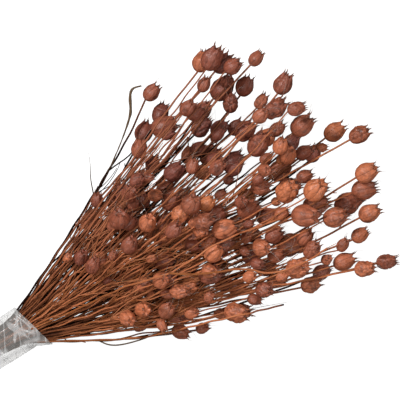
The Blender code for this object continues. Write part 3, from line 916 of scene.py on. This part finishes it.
def spray_shape(spray, bunch, points, turns, draw):
    """One stem with its side shoots, pods, stubs and hairs."""
    shape = Shape()
    tint = draw.gauss(0, STEM_TINT_SPREAD)
    for shoot in bunch.shoots:
        if shoot["spray"] != spray:
            continue
        knots = points[shoot["chain"]]
        main = shoot is bunch.shoots[spray]
        pod = shoot["pod"]
        if pod:
            along = unit(knots[-1] - knots[-2])
            base = knots[-2] - along * pod
            knots = np.array([*knots[:-2], base + along * pod * STEM_SINK])
        sides = STEM_SIDES if main else SHOOT_SIDES
        radii = np.array(shoot["radii"]) * (STEM_THINNING if main else SHOOT_THINNING)
        path = add_stem(shape, knots, radii, sides, tint, draw, forked=not main)
        if main:
            add_stubs(shape, path, radii, tint, draw)
            add_twigs(shape, path, tint, draw)
        if pod:
            add_pod(shape, base, along, pod, turns.uniform(0, pi), draw)
    if spray == STEM_COUNT - 1:
        chain = bunch.shoots[spray]["chain"]
        base, after = points[chain[LEAF_FORK]], points[chain[LEAF_FORK + 1]]
        add_strap_leaf(shape, base, unit(after - base))
    return shape


def neighbour_threes():
    """Every three stems that touch one another in the bundle."""
    slots = np.array(bundle_slots())
    near = norm(slots[:, None] - slots[None], axis=2) < NEIGHBOUR_PITCH * STEM_PITCH
    threes = combinations(range(STEM_COUNT), 3)
    return [three for three in threes if all(near[pair] for pair in combinations(three, 2))]


def rest_height(bunch, points, place, radius):
    """How high a pod of this radius lies at a place on top of every stem and pod below it."""
    height = radius
    share = shares(REST_SAMPLES)
    for first, second, thickness, _, _ in bunch.segments:
        along = points[first] * (1 - share) + points[second] * share
        aside = np.hypot(along[:, 0] - place[0], along[:, 1] - place[1])
        reach = radius + thickness
        below = aside < reach
        if below.any():
            height = max(height, (along[below, 2] + np.sqrt(reach**2 - aside[below] ** 2)).max())
    return min(height, THIN_HIGHEST)


def way_between(three, bunch, points):
    """The points of the way down the middle of three stems."""
    chains = [[points[k] for k in bunch.shoots[spray]["chain"][:-1]] for spray in three]
    return np.array(chains).mean(axis=0)


def nearest_three(threes, bunch, points, degrees):
    """The high three stems whose middle leads nearest to an angle from the bunch's axis."""
    misfits = []
    for three in threes:
        middle = way_between(three, bunch, points)
        azimuth = math.degrees(math.atan2(middle[-1, 1], middle[-1, 0] - TIE_X))
        misfits.append(abs(azimuth - degrees) + LOW_START_COST * (1 - middle[1, 2] / (2 * CENTRE_Z)))
    return threes[int(np.argmin(misfits))]


def grow_thin_stems(bunch, points, draw):
    """Adds thin stems, each between three neighbours, and shoots on them. The others are held still."""
    bunch.points = list(points)
    bunch.held = [True] * len(points)
    threes = draw.sample(neighbour_threes(), THIN_STEMS)
    places = []
    for degrees, distance, radius in THIN_PODS:
        three = nearest_three(threes, bunch, points, degrees)
        threes.remove(three)
        azimuth = radians(degrees)
        target = np.array([TIE_X + distance / 1000 * cos(azimuth), distance / 1000 * sin(azimuth), 0])
        target[2] = rest_height(bunch, points, target, radius / 1000)
        places.append((three, target, radius / 1000))
    places += [(three, None, 0) for three in threes]
    mains = []
    for number, (three, target, pod_radius) in enumerate(places):
        middle = way_between(three, bunch, points)
        start, far = middle[1], middle[-1] - middle[1]
        if target is None:
            share = draw.uniform(*THIN_SHARE)
            aside = np.array([draw.gauss(0, 1) for _ in range(3)]) * THIN_BOW
            aside[1] = -math.copysign(aside[1], start[1])
            pull = np.zeros(3)
            pod_share = LOW_POD_SHARE if start[1] < 0 else THIN_POD_SHARE
            pod_radius = draw.uniform(*THIN_POD_RADIUS) if draw.random() < pod_share else 0
        else:
            share = norm(target - start) / norm(far)
            aside = np.zeros(3)
            pull = target - start - far * share
        chain = [bunch.add_point(middle[0], held=True), bunch.add_point(start, held=True)]
        for k in range(2, len(middle)):
            way = (k - 1) / (len(middle) - 2)
            bowed = aside * sin(way * pi) * norm(far)
            pulled = pull * way**THIN_PULL_POWER
            chain.append(bunch.add_point(start + (middle[k] - start) * share + pulled + bowed))
        bunch.add_shoot(STEM_COUNT + number, chain, (THIN_RADIUS, THIN_TIP_RADIUS), pod_radius)
        mains.append(chain)
    by_side = sorted(range(THIN_STEMS), key=lambda number: bunch.points[mains[number][1]][1])
    for number in by_side[:THIN_SHOOTS]:
        grow_side_shoot(bunch, STEM_COUNT + number, mains[number], False, draw)


def thin_shape(bunch, points, sprays, draw):
    """A share of the thin stems, with their shoots, pods and twigs."""
    shape = Shape()
    radii = (THIN_RADIUS, THIN_TIP_RADIUS)
    for shoot in bunch.shoots:
        if shoot["spray"] not in sprays:
            continue
        knots = points[shoot["chain"]]
        tint, pod = draw.gauss(0, STEM_TINT_SPREAD), shoot["pod"]
        if pod:
            along = unit(knots[-1] - knots[-2])
            base = knots[-2] - along * pod
            lowest = base[2] + pod * (min(middle * along[2] for middle in POD_MIDDLES) - 1)
            base[2] += max(0.0, POD_FLOOR_GAP - lowest)
            knots = np.array([*knots[:-2], base + along * pod * STEM_SINK])
        path = add_stem(shape, knots, radii, SHOOT_SIDES - 1, tint, draw, wave=THIN_WAVE)
        add_twigs(shape, path, tint, draw)
        if pod:
            add_pod(shape, base, along, pod, draw.uniform(0, pi), draw)
    return shape


def places_on_stems(bunch, points):
    """Points along every stem."""
    share = shares(REST_SAMPLES)
    stems = [(first, second) for first, second, _, _, is_pod in bunch.segments if not is_pod]
    return np.concatenate([points[first] * (1 - share) + points[second] * share for first, second in stems])


def over_shape(bunch, points, draw):
    """The long stems that lie over the others, each as high as what is below it asks."""
    shape = Shape()
    for plan in OVER_STEMS:
        knots = smooth_path(np.array([(x / 1000, y / 1000, 0) for x, y in plan]), OVER_STEP)[0]
        heights = np.array([rest_height(bunch, points, knot, OVER_RADII[0]) for knot in knots])
        for settle in (np.max, np.mean):
            around = np.pad(heights, 2, mode="edge")
            heights = settle([around[k : k + len(knots)] for k in range(5)], axis=0)
        knots[:, 2] = heights
        add_stem(shape, knots, OVER_RADII, STEM_SIDES, OVER_TINT, draw)
    return shape


def thread_shape(bunch, points, draw):
    """Thread-like withered leaves: those that show in the photo, and others at random."""
    shape = Shape()
    roots = places_on_stems(bunch, points)
    for plan in THREADS:
        knots = np.array([(x / 1000, y / 1000, THREAD_RISE * k) for k, (x, y) in enumerate(plan)])
        root = roots[np.argmin(np.hypot(*(roots - knots[0])[:, :2].T))]
        knots[:, 2] += root[2]
        knots[0] = root
        add_thread(shape, smooth_path(knots, THREAD_STEP)[0], THREAD_RADIUS, LEAF, draw.random())
    for root in draw.sample(list(roots[roots[:, 0] > THREADS_FROM_X]), RANDOM_THREADS):
        along = unit(root - np.array([TIE_X, 0, CENTRE_Z]))
        aside = twig_side(root, along, draw)
        path = offshoot(root, along, aside, THREAD_LENGTH, THREAD_LEAN, THREAD_CURL, THREAD_STEPS, draw)
        if in_box(path):
            add_thread(shape, path, FINE_THREAD_RADIUS, LEAF, draw.random())
    return shape


def film_point(around, share):
    """A point of the film's face: an oval sleeve, flat below, creased, with a slanted mouth."""
    mouth = FILM_MOUTH_X - FILM_MOUTH_SLANT * cos(around)
    x = mix(FILM_BACK_X, mouth, share)
    flare = max(0.0, x - FAN_START_X)
    half_width = BUNDLE_HALF_WIDTH + FILM_CLEARANCE + flare * tan(radians(FAN_HALF_ANGLE))
    half_height = CENTRE_Z * FILM_SAG
    if sin(around) > 0:
        half_height += flare * tan(RISE_ANGLE)
    fold = 0.0
    for folds, twist in FILM_FOLDS:
        fold += FILM_FOLD_DEPTH * (1 + sin(folds * around + twist * x)) / 2
    side, top = BUNDLE_HALF_WIDTH * cos(around), BUNDLE_HALF_WIDTH * sin(around)
    for scale, slant, depth in FILM_CREASES:
        stretched = (x + slant * side, side * FILM_CREASE_STRETCH, top * FILM_CREASE_STRETCH)
        off_crest = abs(noise.noise(Vector(stretched) * scale)) * FILM_CREASE_NARROWNESS
        fold += depth * (1 - min(1.0, off_crest)) ** 2
    y = (half_width + FILM_SIDE_SHARE * fold) * cos(around)
    z = CENTRE_Z + (half_height + fold) * sin(around)
    return x, y, max(FILM_SHEET, z)


def film_piece(finish):
    """Very thin clear film rolled round the stems as a crumpled sleeve open at both ends."""
    points = [
        film_point(2 * pi * column / FILM_FINE_AROUND, row / FILM_FINE_ALONG)
        for row in range(FILM_FINE_ALONG + 1) for column in range(FILM_FINE_AROUND)
    ]
    faces = [face[::-1] for face in grid_faces(FILM_FINE_ALONG + 1, FILM_FINE_AROUND)]
    film = mesh_object("crumpled_film", points, faces, [finish])
    film.modifiers.new("sheet", "SOLIDIFY").thickness = FILM_SHEET
    return film


class Paint:
    """A node material as it is put together."""

    def __init__(self, name, **values):
        self.material = bpy.data.materials.new(name)
        self.material.use_nodes = True
        self.tree = self.material.node_tree
        self.shader = self.tree.nodes["Principled BSDF"]
        for socket, value in values.items():
            self.shader.inputs[socket.replace("_", " ")].default_value = value
        self.place = self.node("TexCoord").outputs["Object"]
        self.x, self.y, self.z = self.node("SeparateXYZ", self.place).outputs
        growth = self.node("Attribute", attribute_name="growth").outputs
        self.across, self.along, self.tint = self.node("SeparateXYZ", growth["Vector"]).outputs
        self.crease = growth["Alpha"]

    def set(self, socket, value):
        if isinstance(value, bpy.types.NodeSocket):
            self.tree.links.new(value, socket)
        else:
            socket.default_value = value

    def node(self, kind, *values, **settings):
        """A new node with its settings, and with its first inputs set or linked."""
        node = self.tree.nodes.new(f"ShaderNode{kind}")
        for name, setting in settings.items():
            setattr(node, name, setting)
        for socket, value in zip(node.inputs, values):
            self.set(socket, value)
        return node

    def sum(self, operation, *values):
        return self.node("Math", *values, operation=operation).outputs[0]

    def times(self, first, second):
        return self.sum("MULTIPLY", first, second)

    def ramp(self, value, start, end, low=0.0, high=1.0):
        node = self.node("MapRange", value, start, end, low, high, interpolation_type="SMOOTHSTEP")
        return node.outputs[0]

    def noise(self, scale, detail, place=None):
        node = self.node("TexNoise", place or self.place)
        node.inputs["Scale"].default_value = scale
        node.inputs["Detail"].default_value = detail
        return node.outputs["Fac"]

    def spread(self, x, y, z):
        return self.node("CombineXYZ", x, y, z).outputs[0]

    def blend(self, share, low, high):
        node = self.node("Mix", share, data_type="RGBA")
        for socket, colour in ((node.inputs[6], low), (node.inputs[7], high)):
            self.set(socket, (*colour, 1) if isinstance(colour, tuple) else colour)
        return node.outputs[2]

    def layers(self, body, *layers):
        """Colours blended over a body one after another, each by its share."""
        for share, colour in layers:
            body = self.blend(share, body, colour)
        return body

    def colour(self, value):
        self.set(self.shader.inputs["Base Color"], value)

    def bump(self, height, distance, strength):
        node = self.node("Bump")
        node.inputs["Strength"].default_value = strength
        node.inputs["Distance"].default_value = distance
        self.set(node.inputs["Height"], height)
        self.set(self.shader.inputs["Normal"], node.outputs[0])


def husk_material():
    """Papery pod wall: red-brown, blotched, with a midrib on each lobe, slanting veins and darker grooves;
    creases painted darker as shade, and pale faded patches lightened as painted highlights.
    """
    paint = Paint("pod_husk", Roughness=0.42, Specular_IOR_Level=0.38)
    by_pod = paint.spread(paint.times(paint.tint, 61), 0.5, 0.5)
    by_lobe = paint.spread(paint.across, paint.along, paint.tint)
    body = paint.layers(
        paint.blend(paint.ramp(paint.tint, 0.0, 1.0), HUSK_DARK, HUSK_LIGHT),
        (paint.ramp(paint.tint, 0.82, 0.98, 0.0, 0.8), HUSK_GOLDEN),
        (paint.ramp(paint.noise(1, 0, by_pod), 0.45, 0.68, 0.0, 0.75), HUSK_PLUM),
        (paint.ramp(paint.noise(130, 4), 0.5, 0.72, 0.0, 0.65), HUSK_BLOTCH),
        # pale faded patches, which also stand as painted highlights
        (paint.ramp(paint.noise(90, 3, by_lobe), 0.48, 0.75, 0.0, 0.45), HUSK_FADED_AND_HIGHLIGHT),
    )
    slant = paint.sum("MULTIPLY_ADD", paint.across, -VEIN_SLANT, paint.times(paint.along, VEINS))
    wander = paint.sum("MULTIPLY_ADD", paint.noise(260, 2), 1.6, slant)
    vein = paint.ramp(paint.sum("PINGPONG", wander, 0.5), 0.0, 0.16, 1.0, 0.0)
    midrib = paint.ramp(paint.across, 0.02, 0.09, 0.45, 0.0)
    groove = paint.ramp(paint.across, 0.9, 1.0, 0.0, 0.6)
    lines = paint.sum("MAXIMUM", paint.times(vein, 0.28), midrib)
    lines = paint.sum("MAXIMUM", lines, groove)
    # painted shade: creases of the crumpled wall are painted darker
    lines = paint.sum("MAXIMUM", lines, paint.times(paint.crease, 0.35))
    paint.colour(paint.blend(lines, body, HUSK_LINE_AND_CREASE_SHADE))
    height = paint.sum("MULTIPLY_ADD", vein, 0.5, paint.times(paint.noise(900, 3), 0.8))
    height = paint.sum("MULTIPLY_ADD", paint.noise(240, 3), 0.6, height)
    paint.bump(height, 0.0004, 0.5)
    return paint.material


def bark_material():
    """Dry stem skin: streaked lengthwise, from near black to light red-brown, with painted shade: near black
    deep in the bunch, and a golden-brown base tone darkened as shade.
    """
    paint = Paint("stem_bark", Roughness=0.45, Specular_IOR_Level=0.04)
    marks = zip((paint.across, paint.along, paint.tint), BARK_STREAK_SCALES)
    streaks = paint.noise(1, 3, paint.spread(*[paint.times(mark, scale) for mark, scale in marks]))
    # golden-brown low down the stems, darkened there as painted shade
    golden_shade_low_down = paint.ramp(paint.along, 0.15, 0.75, 0.75, 0.0)
    paint.colour(paint.layers(
        # painted shade: the tint turns deep stems near black and those on top light
        paint.blend(paint.tint, BARK_DARK_AND_SHADE, BARK_LIGHT),
        (paint.times(golden_shade_low_down, paint.ramp(paint.tint, 0.1, 0.8)), BARK_GOLDEN_AND_SHADE),
        (paint.times(paint.ramp(streaks, 0.45, 0.7, 0.0, 0.6), paint.tint), BARK_STREAK),
        (paint.times(paint.ramp(paint.y, *POD_TINT_EDGES, 0.0, 0.85), paint.tint), BARK_COOL),
        (paint.ramp(paint.noise(60, 3), 0.52, 0.75, 0.0, 0.6), BARK_PATCH),
    ))
    paint.bump(streaks, 0.0003, 0.4)
    return paint.material


def plain_material(name, dark, light, roughness):
    """A finish that runs from dark to light along each horn, hair or leaf, with fine mottling."""
    paint = Paint(name, Roughness=roughness)
    mottle = paint.sum("MULTIPLY_ADD", paint.noise(500, 2), 0.7, paint.times(paint.along, 0.3))
    paint.colour(paint.blend(mottle, dark, light))
    paint.bump(mottle, 0.0002, 0.3)
    return paint.material


def film_material():
    """Clear glossy film, painted white along its creases, which run round it on a slant: whitened creases and
    painted highlights.
    """
    paint = Paint("clear_film", Roughness=0.2, IOR=1.45)
    lines = 0.0
    # painted highlights: white streaks along the creases, also whitened creases
    for scale, slant, width in FILM_CREASE_AND_HIGHLIGHT_STREAKS:
        crosswise = paint.times(paint.sum("MULTIPLY_ADD", paint.y, slant, paint.x), scale)
        lengthwise = [paint.times(axis, scale * FILM_CREASE_STRETCH) for axis in (paint.y, paint.z)]
        folds = paint.noise(1, 1, paint.spread(crosswise, *lengthwise))
        off_crest = paint.sum("ABSOLUTE", paint.sum("SUBTRACT", folds, 0.5))
        lines = paint.sum("MAXIMUM", paint.ramp(off_crest, 0.0, width, 1.0, 0.0), lines)
    paint.colour(paint.blend(lines, FILM_CLEAR, FILM_CREASE_AND_HIGHLIGHT_WHITE))
    # the painted highlight streaks are also less clear
    white = paint.sum("MULTIPLY_ADD", lines, 0.15, paint.ramp(folds, 0.5, 0.74, 0.0, 0.38))
    paint.set(paint.shader.inputs["Alpha"], paint.sum("ADD", white, FILM_ALPHA))
    paint.bump(folds, 0.001, 0.4)
    return paint.material


def floor_piece():
    """A plain pale surface under the bunch, wide enough for every view."""
    finish = Paint("floor_white", Base_Color=(*FLOOR_COLOUR, 1), Roughness=0.9)
    finish.shader.inputs["Emission Color"].default_value = (1, 1, 1, 1)
    finish.shader.inputs["Emission Strength"].default_value = FLOOR_GLOW
    corners = [(-1, -1), (1, -1), (1, 1), (-1, 1)]
    points = [(x * FLOOR_HALF, y * FLOOR_HALF, 0) for x, y in corners]
    floor = mesh_object("floor", points, [(0, 1, 2, 3)], [finish.material])
    floor.visible_diffuse = False
    floor.visible_glossy = False


def add_light(name, place, size, power):
    lamp = bpy.data.lights.new(name, "AREA")
    lamp.shape = "DISK"
    lamp.size = size
    lamp.energy = power
    light = new_object(name, lamp)
    light.location = place
    light.rotation_euler = (Vector(BUNCH_MIDDLE) - Vector(place)).to_track_quat("-Z", "Y").to_euler()


def add_camera():
    """Straight above the bunch, turned so that its stems point up and to the right."""
    camera_data = bpy.data.cameras.new("camera")
    camera_data.lens = LENS
    camera_data.sensor_width = SENSOR
    camera = new_object("camera", camera_data)
    camera.location = (*PHOTO_CENTRE, PHOTO_PLANE_Z + FRAME_WIDTH * LENS / SENSOR)
    camera.rotation_euler = (0, 0, PHOTO_TURN)
    bpy.context.scene.camera = camera


def light_scene():
    world = bpy.data.worlds.new("studio")
    world.use_nodes = True
    sky = world.node_tree.nodes["Background"]
    sky.inputs["Color"].default_value = (*AMBIENT_COLOUR, 1)
    sky.inputs["Strength"].default_value = AMBIENT
    bpy.context.scene.world = world
    for name, light in LIGHTS.items():
        add_light(name, *light)
    bpy.context.scene.view_settings.view_transform = "Standard"


floor_piece()
light_scene()
add_camera()

finishes = [
    bark_material(),
    husk_material(),
    plain_material("horn_tip", HORN_DARK, HORN_LIGHT, 0.55),
    plain_material("grey_hair", HAIR_DARK, HAIR_LIGHT, 0.6),
    plain_material("withered_leaf", LEAF_DARK, LEAF_LIGHT, 0.6),
]
bunch = grow_bunch()
points = ease_apart(bunch)
turns = random.Random(SEED)
looks = random.Random(SEED + 1)
for spray in range(STEM_COUNT):
    piece = spray_shape(spray, bunch, points, turns, looks).piece(f"spray_{spray + 1:02d}", finishes)
    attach(piece, "root")
    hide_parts(f"stem_{spray + 1:02d}")

solids_points = len(points)
grow_thin_stems(bunch, points, looks)
points = ease_apart(bunch)
points[solids_points:, 2] = np.minimum(points[solids_points:, 2], THIN_TOP)
for number in range(THIN_PIECES):
    sprays = range(STEM_COUNT + number, STEM_COUNT + THIN_STEMS, THIN_PIECES)
    piece = thin_shape(bunch, points, sprays, looks).piece(f"thin_stems_{number + 1}", finishes)
    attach(piece, "root")

for name, make_shape in (("long_stems", over_shape), ("thread_leaves", thread_shape)):
    piece = make_shape(bunch, points, looks).piece(name, finishes)
    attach(piece, "root")

film = film_piece(film_material())
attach(film, "root")
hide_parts("film_wrap")
